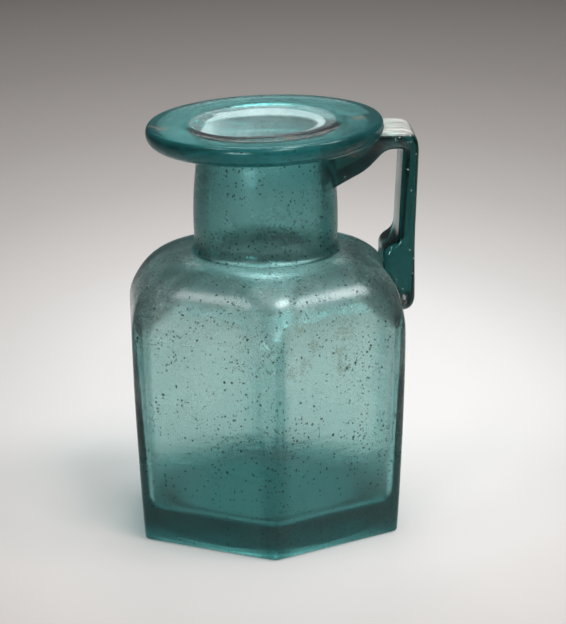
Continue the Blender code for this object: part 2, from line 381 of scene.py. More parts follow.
@dataclass(frozen=True)
class Glass:
    """Blue-green glass: how much light it holds back, and how its skin is worn."""

    name: str
    absorbed: Colour = (0.0, 0.60, 0.595)
    density: float = 100.0
    tint: Colour = (0.82, 0.875, 0.855)
    lamp_share: Colour = (0.90, 0.86, 0.86)
    gleam: Colour = (0.50, 0.88, 0.90)
    shine: float = 0.38
    ior: float = 1.5

    def base(self) -> tuple[bpy.types.Material, Nodes, bpy.types.Node, Socket]:
        """A see-through material with plain glass values.

        Returns:
            The material, its nodes, its shader and the socket of the Object coordinates.
        """
        material, nodes, shader, place = start_material(self.name)
        plain = {"Metallic": 0.0, "Transmission Weight": 1.0, "IOR": self.ior}
        plain |= {"Specular Tint": (*self.gleam, 1.0), "Specular IOR Level": self.shine}
        nodes.feed(shader, plain)
        inputs = {"Color": (*self.absorbed, 1.0), "Density": self.density}
        depth = nodes.add("VolumeAbsorption", inputs)
        path = nodes.add("LightPath").outputs
        lamp = nodes.math("MAXIMUM", path["Is Shadow Ray"], path["Is Diffuse Ray"])
        clear = nodes.add("BsdfTransparent", {"Color": (*self.lamp_share, 1.0)})
        skin = nodes.add("MixShader", {0: lamp, 1: shader.outputs[0], 2: clear.outputs[0]})
        output = nodes.tree.nodes["Material Output"]
        nodes.feed(output, {"Surface": skin.outputs[0], "Volume": depth.outputs[0]})
        return material, nodes, shader, place


@dataclass(frozen=True)
class WornSkin(Glass):
    """The vessel's glass: satin outside, rough in the mouth and clear in the hollow."""

    shoulder_tint: Colour = (0.70, 0.86, 0.85)
    # Painted shade: a darker tint along the arrises stands in for the dark strips where light runs
    # a long way inside the wall.
    arris_shade_tint: Colour = (0.34, 0.54, 0.53)
    neck_tint: Colour = (0.52, 0.77, 0.76)
    rim_tint: Colour = (0.26, 0.58, 0.58)
    # Painted light: the rim's top takes a lighter tint than its darker sides and underside, as if
    # lit from above.
    lit_rim_top_tint: Colour = (0.56, 0.80, 0.79)
    low_rough: float = 0.34
    body_rough: float = 0.16
    shoulder_rough: float = 0.28
    neck_rough: float = 0.27
    rim_rough: float = 0.14
    hollow_rough: float = 0.05
    mouth_rough: float = 0.36
    coat_rough: float = 0.22
    coat_ior: float = 1.8

    # Heights between which each part's mask eases in or out.
    BASE = (0.022, 0.040)
    LIT_RIM_TOP = (0.1428, 0.1436)
    MOUTH = (0.122, 0.138)
    RIDGE_START = (0.0880, 0.0905)
    RIDGE_END = (0.0910, 0.0940)
    NECK_FOOT_START = (0.0955, 0.0975)
    NECK_FOOT_END = (0.0990, 0.1002)
    NECK_FOOT_GLEAM = 0.3

    def material(self, groups: SurfaceGroups) -> bpy.types.Material:
        """Builds the material.

        Args:
            groups: The shared node groups.

        Returns:
            The material.
        """
        material, nodes, shader, place = self.base()
        height = nodes.height(place)
        on_rim = nodes.ramp(height, *RIM_FOOT)
        on_body = nodes.fall(height, *BODY_END)
        on_shoulder = nodes.times(nodes.ramp(height, *SHOULDER), on_body)
        inside = nodes.add("Attribute", attribute_name=GlassPull.HOLLOW).outputs["Fac"]
        film = nodes.noise(place, 55.0, 5.0, 0.6)
        grain = nodes.noise(place, 1500.0, 2.0)
        streaks = nodes.noise(nodes.moved(place, scale=(1.0, 1.0, 0.04)), 900.0, 3.0, 0.6)
        waves = nodes.noise(nodes.moved(place, scale=(1.0, 1.0, 3.5)), 110.0, 2.0)

        on_arris = nodes.times(nodes.group(groups.arris, place), on_body)
        tone = nodes.mix(on_shoulder, self.tint, self.shoulder_tint)
        # Painted shade: the glass is tinted darker along the arrises.
        tone = nodes.mix(on_arris, tone, self.arris_shade_tint)
        tone = nodes.mix(on_body, self.neck_tint, tone)
        tone = nodes.mix(on_rim, tone, self.rim_tint)
        # Painted light: the rim's top is tinted lighter than its sides.
        tone = nodes.mix(nodes.ramp(height, *self.LIT_RIM_TOP), tone, self.lit_rim_top_tint)
        tone = nodes.mix(inside, tone, self.tint)

        low = nodes.ramp(height, *self.BASE, self.low_rough, self.body_rough)
        rough = nodes.between(on_shoulder, low, self.shoulder_rough)
        rough = nodes.between(on_body, self.neck_rough, rough)
        rough = nodes.between(on_rim, rough, self.rim_rough)
        rough = nodes.math("ADD", rough, nodes.ramp(film, 0.3, 0.75, -0.05, 0.08))
        hollow = nodes.ramp(height, *self.MOUTH, self.hollow_rough, self.mouth_rough)
        rough = nodes.between(inside, rough, hollow)

        ridge = nodes.ramp(height, *self.RIDGE_START), nodes.fall(height, *self.RIDGE_END)
        strokes = nodes.group(
            groups.scratches, nodes.moved(place, (0, 72, 0)), Scale=900.0, Share=0.6
        )
        cloudy = nodes.between(strokes, nodes.ramp(film, 0.4, 0.6, 0.45, 0.9), 1.0)
        glints = nodes.times(nodes.times(*ridge), cloudy)
        gleam = nodes.ramp(height, *self.NECK_FOOT_END, self.NECK_FOOT_GLEAM, 0.0)
        under_neck = nodes.times(nodes.ramp(height, *self.NECK_FOOT_START), gleam)
        satin = nodes.times(on_rim, nodes.ramp(grain, 0.35, 0.6, 0.1, 0.45))
        coat = nodes.math("MAXIMUM", nodes.math("MAXIMUM", glints, under_neck), satin)

        relief = nodes.math("ADD", nodes.times(grain, 0.3), nodes.times(streaks, 0.4))
        relief = nodes.between(inside, relief, nodes.times(waves, 1.6))
        bump = nodes.add("Bump", {"Strength": 0.3, "Distance": 0.00025, "Height": relief})
        driven = {"Base Color": tone, "Roughness": rough, "Coat Weight": coat}
        plain = {"Coat Roughness": self.coat_rough, "Coat IOR": self.coat_ior}
        nodes.feed(shader, driven | plain | {"Normal": bump.outputs[0]})
        return material


@dataclass(frozen=True)
class StrapSkin(Glass):
    """The handle's glass: glossy, with fine lines drawn along it as it was pulled."""

    absorbed: Colour = (0.0, 0.44, 0.43)
    density: float = 170.0
    tint: Colour = (0.52, 0.77, 0.76)
    shine: float = 0.25
    rough: float = 0.10
    rough_spread: float = 0.16
    speck_share: float = 0.5

    TOP = (0.132, 0.137)

    def material(self, groups: SurfaceGroups) -> bpy.types.Material:
        """Builds the material.

        Args:
            groups: The shared node groups.

        Returns:
            The material.
        """
        material, nodes, shader, place = self.base()
        ribs = nodes.noise(nodes.moved(place, scale=(0.03, 1.0, 0.03)), 900.0, 3.0, 0.6)
        film = nodes.noise(place, 90.0, 4.0, 0.6)
        specks = nodes.group(groups.pits, place, Scale=900.0, Share=0.15, Size=0.3)
        tone = nodes.mix(specks, self.tint, tuple(part * self.speck_share for part in self.tint))
        rough = nodes.ramp(film, 0.35, 0.75, self.rough, self.rough + self.rough_spread)
        coat = nodes.ramp(nodes.height(place), *self.TOP)
        bump = nodes.add("Bump", {"Strength": 0.4, "Distance": 0.0003, "Height": ribs})
        driven = {"Base Color": tone, "Roughness": rough, "Coat Weight": coat}
        nodes.feed(shader, driven | {"Coat Roughness": self.rough, "Normal": bump.outputs[0]})
        return material


@dataclass(frozen=True)
class Film:
    """Soil, weathering and some painted light and shade that lie on the glass as a thin, mostly
    clear film.
    """

    name: str
    haze_tone: Colour = (0.52, 0.64, 0.61)
    pit_tone: Colour = (0.012, 0.026, 0.024)
    stain_tone: Colour = (0.17, 0.19, 0.08)
    soil_tone: Colour = (0.30, 0.20, 0.155)
    crumb_tone: Colour = (0.72, 0.80, 0.77)
    # The tone of the dark marks where the handle meets the vessel.
    join_mark_tone: Colour = (0.035, 0.028, 0.02)
    rough: float = 0.65
    shine: float = 0.1

    CRUMB_TURN = (40, 0, 70)
    LEAST_COVER = 0.001

    def near(self, nodes: Nodes, place: object, spots: Spots) -> Socket:
        """A mask that is 1 at given places and fades unevenly to 0 round them.

        Args:
            nodes: The material's nodes.
            place: The socket of the coordinates.
            spots: The places and how far each reaches.

        Returns:
            The mask's socket.
        """
        uneven = nodes.ramp(nodes.noise(place, 420.0, 4.0, 0.65), 0.3, 0.7, -0.8, 0.8)
        mask = 0.0
        for centre, reach in spots:
            off = nodes.math("DIVIDE", nodes.vector("DISTANCE", place, centre), reach)
            spot = nodes.fall(nodes.math("ADD", off, uneven), 0.2, 1.1)
            mask = nodes.math("MAXIMUM", mask, spot)
        return nodes.times(mask, nodes.ramp(nodes.noise(place, 1900.0, 2.0), 0.36, 0.6, 0.35, 1.0))

    def layers(self, nodes: Nodes, groups: SurfaceGroups, place: Socket) -> Layers:
        """The film's layers from the lowest up, each as its mask and its tone."""
        raise NotImplementedError

    def material(self, groups: SurfaceGroups) -> bpy.types.Material:
        """Builds the material, with each layer laid over those below it.

        Args:
            groups: The shared node groups.

        Returns:
            The material.
        """
        material, nodes, shader, place = start_material(self.name)
        tone, cover = self.haze_tone, 0.0
        for mask, colour in self.layers(nodes, groups, place):
            cover = nodes.math("ADD", nodes.times(nodes.rest(mask), cover), mask)
            whole = nodes.math("MAXIMUM", cover, self.LEAST_COVER)
            tone = nodes.mix(nodes.math("DIVIDE", mask, whole), tone, colour)
        plain = {"Roughness": self.rough, "Specular IOR Level": self.shine}
        nodes.feed(shader, {"Base Color": tone, "Alpha": cover} | plain)
        return material


@dataclass(frozen=True)
class VesselFilm(Film):
    """The film on the vessel: haze, pits, scratches, worn arrises, stains, soil and join marks, a
    frosted mouth partly painted as sheen, and painted shade on the rim's side.
    """

    # Partly weathering and partly a painted sheen of the lamps' light in the funnel.
    frost_and_sheen_tone: Colour = (0.56, 0.74, 0.74)
    ring_tone: Colour = (0.045, 0.050, 0.056)
    # Painted shade on the rim's outer side.
    rim_side_shade_tone: Colour = (0.012, 0.145, 0.150)

    # Heights, and reaches from the axis, between which each part's mask eases in or out.
    ARRIS_START = (0.02, 0.05)
    ARRIS_END = (0.078, 0.086)
    HAZE_START = (0.03, 0.05)
    BARE_START = (0.012, 0.030)
    MOUTH_REACH = (0.0215, 0.0225)
    MOUTH_START = (0.108, 0.126)
    SLOPE_REACH = (0.0250, 0.0262)
    SLOPE_START = (0.1395, 0.1410)
    LIP_REACH = (0.0262, 0.0282)
    LIP_START = (0.1412, 0.1422)
    LIP_FRONT = (-0.016, -0.004)
    SHADED_RIM_SIDE = (0.0330, 0.0385)
    # Single marks, each a place and how far it reaches.
    STAINS = (
        ((0.0253, -0.0403, 0.0786), 0.0040),
        ((0.0234, -0.0416, 0.0725), 0.0032),
        ((0.0241, -0.0411, 0.0663), 0.0036),
        ((0.0145, -0.0467, 0.0766), 0.0026),
        ((0.0109, -0.0488, 0.0702), 0.0030),
        ((0.0062, -0.0514, 0.0676), 0.0024),
        ((0.0093, -0.0486, 0.0827), 0.0022),
    )
    SOIL = (
        ((-0.0352, -0.0035, 0.1433), 0.0030),
        ((-0.0380, -0.0010, 0.1434), 0.0020),
        ((0.0333, -0.0011, 0.1450), 0.0028),
        ((0.0075, -0.0262, 0.1450), 0.0022),
        ((0.0290, -0.0290, 0.1400), 0.0020),
    )
    # Dark marks where the handle's upper end meets the neck.
    JOIN_MARKS = (((0.0219, -0.0115, 0.1285), 0.0016),)

    def layers(self, nodes: Nodes, groups: SurfaceGroups, place: Socket) -> Layers:
        """The film's layers from the lowest up, each as its mask and its tone."""
        height = nodes.height(place)
        reach = nodes.vector("LENGTH", nodes.flat(place))
        back = nodes.add("SeparateXYZ", {0: place}).outputs[1]
        on_rim = nodes.ramp(height, *RIM_FOOT)
        on_body = nodes.fall(height, *BODY_END)
        along = nodes.ramp(height, *self.ARRIS_START), nodes.fall(height, *self.ARRIS_END)
        on_arris = nodes.times(nodes.group(groups.arris, place), *along)
        mouth = nodes.fall(reach, *self.MOUTH_REACH), nodes.ramp(height, *self.MOUTH_START)
        in_mouth = nodes.times(*mouth)
        slope = nodes.fall(reach, *self.SLOPE_REACH), nodes.ramp(height, *self.SLOPE_START)
        lip = nodes.fall(reach, *self.LIP_REACH), nodes.ramp(height, *self.LIP_START)
        on_lip = nodes.times(*lip, nodes.ramp(back, *self.LIP_FRONT, 1.0, 0.15))
        side = nodes.times(nodes.ramp(reach, *self.SHADED_RIM_SIDE), on_rim)
        bare = nodes.times(nodes.rest(in_mouth), nodes.ramp(height, *self.BARE_START, 0.25, 1.0))

        cloud = nodes.noise(place, 45.0, 6.0, 0.65)
        grain = nodes.ramp(nodes.noise(place, 2600.0, 2.0), 0.35, 0.65)
        zone = nodes.between(on_body, 0.06, nodes.ramp(height, *self.HAZE_START, 0.03, 0.32))
        zone = nodes.times(zone, nodes.ramp(height, *SHOULDER, 1.0, 1.3))
        zone = nodes.between(on_rim, zone, 0.03)
        haze = nodes.times(nodes.ramp(cloud, 0.4, 0.66, 0.25, 1.0), grain, zone)
        # The pale frosted film in the mouth is partly weathering and partly a painted sheen of the
        # lamps' light in the funnel.
        frost_and_sheen = nodes.times(in_mouth, nodes.ramp(cloud, 0.35, 0.6, 0.62, 0.95))
        thin_frost = nodes.times(nodes.times(*slope), nodes.ramp(cloud, 0.35, 0.6, 0.15, 0.35))
        # Painted shade: a dark teal film darkens the rim's outer side.
        satin = nodes.times(side, nodes.ramp(cloud, 0.35, 0.65, 0.20, 0.40))
        blotches = nodes.noise(place, 300.0, 4.0, 0.6)
        ring = nodes.times(on_lip, nodes.ramp(blotches, 0.3, 0.6, 0.55, 0.92))

        pits = nodes.group(groups.pits, place, Scale=430.0, Share=0.32, Size=0.30)
        specks = nodes.group(groups.pits, place, Scale=800.0, Share=0.50, Size=0.42)
        fine = nodes.group(groups.pits, place, Scale=1700.0, Share=0.35, Size=0.42)
        turned = nodes.moved(place, self.CRUMB_TURN)
        crumbs = nodes.group(groups.pits, turned, Scale=900.0, Share=0.014, Size=0.30)
        squat = nodes.moved(place, scale=(1.0, 1.0, 0.6))
        worn = nodes.group(groups.pits, squat, Scale=900.0, Share=0.5, Size=0.5)
        sloping = nodes.moved(place, (0, 55, 25))
        long = nodes.group(groups.scratches, sloping, Scale=330.0, Share=0.06)
        steep = nodes.moved(place, (0, 86, 0))
        upright = nodes.group(groups.scratches, steep, Scale=520.0, Share=0.10)
        scratches = nodes.math("MAXIMUM", long, nodes.times(upright, nodes.rest(on_rim)))
        return [
            (haze, self.haze_tone),
            (nodes.math("MAXIMUM", frost_and_sheen, thin_frost), self.frost_and_sheen_tone),
            (satin, self.rim_side_shade_tone),
            (ring, self.ring_tone),
            (nodes.times(self.near(nodes, place, self.STAINS), 0.35), self.stain_tone),
            (nodes.times(self.near(nodes, place, self.SOIL), 0.5), self.soil_tone),
            (nodes.times(fine, nodes.between(on_rim, 0.35, 0.5)), self.pit_tone),
            (nodes.times(specks, bare, 0.75), self.pit_tone),
            (nodes.times(worn, on_arris, 0.45), self.pit_tone),
            (nodes.times(scratches, 0.6), self.pit_tone),
            (nodes.times(pits, bare, 0.85), self.pit_tone),
            (nodes.times(crumbs, bare, 0.8), self.crumb_tone),
            (self.near(nodes, place, self.JOIN_MARKS), self.join_mark_tone),
        ]


@dataclass(frozen=True)
class StrapFilm(Film):
    """The film on the handle: a pale striped top, partly weathering and partly a painted sheen,
    specks, and soil and dark marks where it meets the vessel.
    """

    # The top's pale film is partly weathering and partly a painted sheen of the overhead light.
    stripe_and_sheen_tone: Colour = (0.70, 0.70, 0.65)
    shade: float = 0.6

    # Heights over which the pale top, partly painted sheen, eases in.
    TOP = (0.1398, 0.1418)
    # Single marks, each a place and how far it reaches.
    SOIL = (
        ((0.0290, -0.0110, 0.1375), 0.0022),
        ((0.0304, -0.0110, 0.1345), 0.0016),
        ((0.0488, -0.0115, 0.0805), 0.0012),
    )
    # Dark marks along where the handle meets the vessel.
    JOIN_MARKS = (
        ((0.0413, -0.0108, 0.0932), 0.0012),
        ((0.0424, -0.0110, 0.0915), 0.0011),
        ((0.0435, -0.0112, 0.0896), 0.0011),
        ((0.0446, -0.0113, 0.0876), 0.0011),
        ((0.0456, -0.0114, 0.0856), 0.0011),
        ((0.0464, -0.0114, 0.0836), 0.0011),
        ((0.0471, -0.0114, 0.0816), 0.0010),
        ((0.0275, -0.0110, 0.1352), 0.0014),
        ((0.0300, -0.0110, 0.1372), 0.0012),
    )
    CRUMBS = (
        ((0.0478, -0.0114, 0.0790), 0.0016),
        ((0.0485, -0.0115, 0.0822), 0.0012),
    )

    def layers(self, nodes: Nodes, groups: SurfaceGroups, place: Socket) -> Layers:
        """The film's layers from the lowest up, each as its mask and its tone."""
        drawn = nodes.moved(place, scale=(0.05, 1.0, 0.05))
        stripes_and_sheen = nodes.ramp(nodes.noise(drawn, 1400.0, 3.0, 0.6), 0.35, 0.65, 0.30, 0.85)
        specks = nodes.group(groups.pits, place, Scale=1100.0, Share=0.25, Size=0.36)
        turned = nodes.moved(place, self.CRUMB_TURN)
        crumbs = nodes.group(groups.pits, turned, Scale=1000.0, Share=0.06, Size=0.34)
        damp_soil = tuple(part * self.shade for part in self.soil_tone)
        return [
            # Pale striped top: partly weathering, partly painted sheen from the overhead light.
            (nodes.times(nodes.ramp(nodes.height(place), *self.TOP), stripes_and_sheen), self.stripe_and_sheen_tone),
            (nodes.times(self.near(nodes, place, self.SOIL), 0.7), damp_soil),
            (nodes.times(specks, 0.5), self.pit_tone),
            (nodes.times(crumbs, 0.8), self.crumb_tone),
            (nodes.times(self.near(nodes, place, self.CRUMBS), 0.6), self.crumb_tone),
            (nodes.times(self.near(nodes, place, self.JOIN_MARKS), 0.9), self.join_mark_tone),
        ]


@dataclass(frozen=True)
class Ring:
    """One ring of the vessel: a hexagon whose corners may be rounded until it is a circle."""

    height: float
    apothem: float
    corner: float | None = None
    lean: float = 0.0
    offset: float = 0.0
    ripple: float = 0.0
    seed: float = 0.0
    squash: float = 1.0

    CLUSTER = 0.86
    RIPPLE_RISE = 0.05
    RIPPLE_SCALE = 2.1

    def points(self, count: int) -> list[Vector]:
        """The ring's points, anticlockwise from above.

        Args:
            count: How many points it has.

        Returns:
            The points, which crowd together round a sharp corner.
        """
        corner = self.apothem if self.corner is None else min(self.corner, self.apothem)
        roundness = corner / self.apothem
        points = []
        for number in range(count):
            even = 2 * math.pi * number / count
            crowding = self.CLUSTER * (1 - roundness)
            azimuth = even - crowding * math.sin(SIDES * even - math.pi) / SIDES
            reach = self.reach(azimuth, corner)
            if self.ripple:
                rise = self.height / self.RIPPLE_RISE + self.seed
                way = Vector((math.cos(azimuth), math.sin(azimuth), rise))
                reach -= self.ripple * (0.5 + 0.5 * noise.noise(way * self.RIPPLE_SCALE))
            x = self.offset + reach * math.cos(azimuth)
            y = self.squash * reach * math.sin(azimuth)
            points.append(Vector((x, y, self.height + self.lean * x)))
        return points

    def reach(self, azimuth: float, corner: float) -> float:
        """How far the ring reaches from its centre at an azimuth."""
        past_corner = abs(azimuth % SECTOR - SECTOR / 2)
        centre = (self.apothem - corner) / math.cos(SECTOR / 2)
        along = centre + corner * math.cos(SECTOR / 2)
        if past_corner < math.atan2(corner * math.sin(SECTOR / 2), along):
            across = centre * math.sin(past_corner)
            return centre * math.cos(past_corner) + math.sqrt(corner**2 - across**2)
        return self.apothem / math.cos(SECTOR / 2 - past_corner)


class GlassPull:
    """A closed skin drawn out of one circle, ring after ring, as glass is drawn on the pipe."""

    LAYER = "place"
    HOLLOW = "hollow"

    def __init__(self, name: str, first: Sequence[Vector]) -> None:
        """Starts the skin.

        Args:
            name: The piece's name.
            first: The points of its first ring.
        """
        deselect()
        bpy.ops.mesh.primitive_circle_add(vertices=len(first), radius=first[0].length)
        self.thing = bpy.context.object
        self.thing.name = self.thing.data.name = name
        bpy.ops.object.mode_set(mode="EDIT")
        bpy.ops.mesh.select_all(action="SELECT")
        mesh = bmesh.from_edit_mesh(self.thing.data)
        mesh.verts.layers.float.new(self.HOLLOW)
        layer = mesh.verts.layers.int.new(self.LAYER)
        for number, vertex in enumerate(mesh.verts):
            vertex[layer] = number
        self.count = len(first)
        self.place(first, 0.0)

    def place(self, points: Sequence[Vector], hollow: float) -> None:
        """Moves the selected ring's vertices to their points, and marks whether they are inside."""
        mesh = bmesh.from_edit_mesh(self.thing.data)
        layer = mesh.verts.layers.int[self.LAYER]
        mark = mesh.verts.layers.float[self.HOLLOW]
        for vertex in mesh.verts:
            if vertex.select:
                vertex.co = points[vertex[layer]]
                vertex[mark] = hollow
        bmesh.update_edit_mesh(self.thing.data)

    def draw(self, points: Sequence[Vector], hollow: float = 0.0) -> None:
        """Pulls the skin on to the next ring."""
        bpy.ops.mesh.extrude_region_move()
        self.place(points, hollow)

    def close(self) -> bpy.types.Object:
        """Closes both ends with a fan, turns the faces outwards and shades the skin smooth.

        Returns:
            The finished object.
        """
        bpy.ops.mesh.extrude_region_move()
        bpy.ops.mesh.merge(type="CENTER")
        choose(self.thing, lambda vertex: vertex.index < self.count)
        bpy.ops.mesh.extrude_region_move()
        bpy.ops.mesh.merge(type="CENTER")
        bpy.ops.mesh.select_all(action="SELECT")
        bpy.ops.mesh.normals_make_consistent(inside=False)
        bpy.ops.object.mode_set(mode="OBJECT")
        self.thing.data.attributes.remove(self.thing.data.attributes[self.LAYER])
        bpy.ops.object.shade_smooth()
        return self.thing


@dataclass
class BlownVessel:
    """The blown body, neck and folded rim, with the hollow inside them."""

    foot_apothem: float = 0.0447
    shoulder_apothem: float = 0.0478
    side_height: float = 0.0750
    side_bow: float = 1.6
    foot_corner: float = 0.0025
    shoulder_corner: float = 0.0060
    foot_edge: float = 0.0010
    shoulder_rise: float = 0.0238
    squareness: float = 2.3
    soft_corner: float = 0.021
    soft_share: float = 0.35
    neck_height: float = 0.0353
    neck_foot: float = 0.0252
    neck_belly: float = 0.0255
    neck_belly_share: float = 0.28
    neck_top: float = 0.0236
    neck_offset: float = 0.0006
    neck_fillet: float = 0.0020
    rim_radius: float = 0.0417
    rim_fillet: float = 0.0028
    rim_under_reach: float = 0.0059
    rim_under_depth: float = 0.0052
    rim_top_reach: float = 0.0016
    rim_top_rise: float = 0.0027
    rim_dish: float = 0.0007
    rim_lean: float = math.radians(1.4)
    funnel: float = 0.0253
    funnel_narrow: float = 0.0007
    funnel_wide: float = 0.0067
    funnel_depth: float = 0.0011
    throat_edge: float = 0.0008
    throat_depth: float = 0.0024
    mouth_squash: float = 0.76
    side_wall_top: float = 0.0026
    side_wall_foot: float = 0.0036
    shoulder_wall: float = 0.0036
    neck_wall: float = 0.0044
    floor: float = 0.0105
    floor_fillet: float = 0.0055
    inner_corner: float = 0.0020
    mark_inset: float = 0.0067
    mark_width: float = 0.0026
    mark_depth: float = 0.0008
    points: int = 192
    outer_ripple: float = 0.00012
    inner_ripple: float = 0.00035

    @property
    def neck_foot_height(self) -> float:
        """Where the neck starts."""
        return self.side_height + self.shoulder_rise

    @property
    def neck_top_height(self) -> float:
        """Where the neck runs into the rim."""
        return self.neck_foot_height + self.neck_height

    @property
    def rim_height(self) -> float:
        """The height of the rim's widest line, on the axis."""
        return self.neck_top_height + self.rim_fillet + self.rim_under_depth

    def underside(self) -> list[Ring]:
        """The flat base with its moulded circle, from near the axis outwards."""
        radius = self.foot_apothem - self.mark_inset
        half = self.mark_width / 2
        flat = [radius * share for share in (0.25, 0.5, 0.75)] + [radius - half]
        rings = [Ring(0.0, reach) for reach in flat]
        rings += [Ring(z, r) for r, z in arc((radius, 0.0), (half, self.mark_depth), 170, 10, 6)]
        return rings + [Ring(0.0, radius + half)]

    def foot(self) -> list[Ring]:
        """The small radius between the underside and the sides."""
        centre = (self.foot_apothem - self.foot_edge, self.foot_edge)
        curve = arc(centre, (self.foot_edge, self.foot_edge), -90, 0, 5)
        return [Ring(z, reach, self.foot_corner) for reach, z in curve]

    def side(
        self, height: float, wall: float = 0.0, extra: float = 0.0, ripple: float = 0.0
    ) -> Ring:
        """A ring of the sides, which bow out on their way up.

        Args:
            height: The ring's height.
            wall: How far inside the outer skin it is.
            extra: How much rounder its corners are than the outer skin's.
            ripple: How uneven it is.

        Returns:
            The ring.
        """
        share = height / self.side_height
        spread = self.shoulder_apothem - self.foot_apothem
        apothem = self.shoulder_apothem - spread * (1 - share) ** self.side_bow
        corner = mixed(self.foot_corner, self.shoulder_corner, share)
        return Ring(height, apothem - wall, corner + extra, ripple=ripple, seed=wall * 1000)

    def shoulder(
        self, top: float, wide: float, neck: float, corner: float, ripple: float
    ) -> list[Ring]:
        """A quarter of an ellipse from a hexagonal side up to a round neck.

        Args:
            top: The height where it ends.
            wide: Its apothem at the sides.
            neck: Its radius at its end.
            corner: Its corners' radius at the sides.
            ripple: How uneven it is.

        Returns:
            The rings, from the sides upwards.
        """
        rings = []
        steps = 22
        curve = arc((neck, self.side_height), (wide - neck, top - self.side_height), 0, 90, steps)
        for step, (apothem, height) in enumerate(curve):
            share = step / steps
            rounded = mixed(corner, apothem, share**self.squareness)
            softened = mixed(corner, self.soft_corner, eased(share / self.soft_share))
            rounded = max(rounded, min(softened, apothem))
            offset = self.neck_offset * share
            rings.append(Ring(height, apothem, rounded, offset=offset, ripple=ripple))
        return rings

    def neck_radius(self, share: float) -> float:
        """The neck's outer radius at a share of its height: a parabola through its three sizes."""
        rise = self.neck_belly - self.neck_foot
        fall = self.neck_top - self.neck_foot
        at = self.neck_belly_share
        bend = (rise - fall * at) / (at * (at - 1))
        return self.neck_foot + (fall - bend) * share + bend * share**2

    def neck(self, wall: float, ripple: float) -> list[Ring]:
        """The neck's side from its foot to its top, moved in by a wall for the bore."""
        rings = []
        steps = 16
        seed = wall * 1000
        for step in range(steps + 1):
            share = step / steps
            height = mixed(self.neck_foot_height + self.neck_fillet, self.neck_top_height, share)
            reach = self.neck_radius(share) - wall
            offset = self.neck_offset
            rings.append(Ring(height, reach, offset=offset, ripple=ripple, seed=seed))
        return rings

    def neck_corner(self) -> list[Ring]:
        """The hollow corner between the shoulder and the neck."""
        centre = (self.neck_foot + self.neck_fillet, self.neck_foot_height + self.neck_fillet)
        curve = arc(centre, (self.neck_fillet, self.neck_fillet), -90, -180, 7)
        return [Ring(z, reach, offset=self.neck_offset) for reach, z in curve[1:-1]]

    def rim_ring(
        self,
        reach: float,
        above: float,
        shift: float = 0.0,
        ripple: float = 0.0,
        squash: float = 1.0,
    ) -> Ring:
        """A ring of the leaning rim, at a height above its widest line."""
        lean, offset = math.tan(self.rim_lean), self.neck_offset + shift
        height = self.rim_height + above
        return Ring(height, reach, lean=lean, offset=offset, ripple=ripple, squash=squash)

    def rim(self) -> list[Ring]:
        """The rim from the neck out under its collar, round its edge and over its dished top."""
        low = -self.rim_under_depth - self.rim_fillet
        fillet = self.rim_fillet
        curve = arc((self.neck_top + fillet, low), (fillet, fillet), 180, 90, 7)[1:]
        under = (self.rim_radius - self.rim_under_reach, 0.0)
        start = curve[-1][0]
        curve += [(mixed(start, under[0], share), -self.rim_under_depth) for share in (0.33, 0.67)]
        curve += arc(under, (self.rim_under_reach, self.rim_under_depth), -90, 0, 14)
        crest = self.rim_radius - self.rim_top_reach
        curve += arc((crest, 0.0), (self.rim_top_reach, self.rim_top_rise), 0, 90, 8)[1:]
        for step in range(1, 10):
            share = step / 10
            dip = self.rim_dish * math.sin(math.pi * min(1.0, share / 0.9)) ** 0.5
            curve.append((mixed(crest, self.funnel, share), self.rim_top_rise - dip))
        return [self.rim_ring(reach, above, ripple=self.outer_ripple) for reach, above in curve]

    def mouth(self) -> list[Ring]:
        """The funnel's raised edge, and the funnel down to the bore, set to one side."""
        radius = self.funnel - (self.funnel_narrow + self.funnel_wide) / 2
        shift = (self.funnel_narrow - self.funnel_wide) / 2
        lip = self.rim_top_rise - self.rim_dish - self.funnel_depth
        crest = self.rim_top_rise - self.rim_dish * 0.6
        bore = self.neck_top - self.neck_wall
        rings = [self.rim_ring(self.funnel, crest)]
        for share in (0.12, 0.3, 0.5, 0.7, 0.88):
            drop = mixed(crest, lip, eased(share))
            narrow = mixed(1.0, self.mouth_squash, share)
            reach = mixed(self.funnel, radius, share)
            rings.append(self.rim_ring(reach, drop, shift * share, squash=narrow))
        rings.append(self.rim_ring(radius, lip, shift, squash=self.mouth_squash))
        edge, deep = lip - self.throat_edge, lip - self.throat_depth
        for share, above in ((0.1, edge), (0.4, deep), (0.8, -self.rim_under_depth)):
            narrow = mixed(self.mouth_squash, 1.0, share)
            reach = mixed(radius, bore, share)
            rings.append(self.rim_ring(reach, above, shift * (1 - share), squash=narrow))
        return rings

    def hollow(self) -> list[Ring]:
        """The inside from the neck's bore down to the floor."""
        bore = list(reversed(self.neck(self.neck_wall, self.inner_ripple)))[1:-1]
        wide = self.shoulder_apothem - self.side_wall_top
        neck = self.neck_foot - self.neck_wall
        corner = self.shoulder_corner + self.inner_corner
        top = self.neck_foot_height - self.shoulder_wall
        rings = bore + list(reversed(self.shoulder(top, wide, neck, corner, self.inner_ripple)))
        low = self.floor + self.floor_fillet
        for step in range(1, 14):
            share = step / 14
            wall = mixed(self.side_wall_top, self.side_wall_foot, share)
            height = mixed(self.side_height, low, share)
            rings.append(self.side(height, wall, self.inner_corner, self.inner_ripple))
        foot = self.side(low, self.side_wall_foot, self.inner_corner)
        fillet = self.floor_fillet
        curve = arc((foot.apothem - fillet, low), (fillet, fillet), 0, -90, 9)
        rings += [Ring(z, reach, foot.corner) for reach, z in curve]
        flat = foot.apothem - fillet
        rings += [Ring(self.floor, flat * share, foot.corner) for share in (0.8, 0.6, 0.4, 0.2)]
        return rings

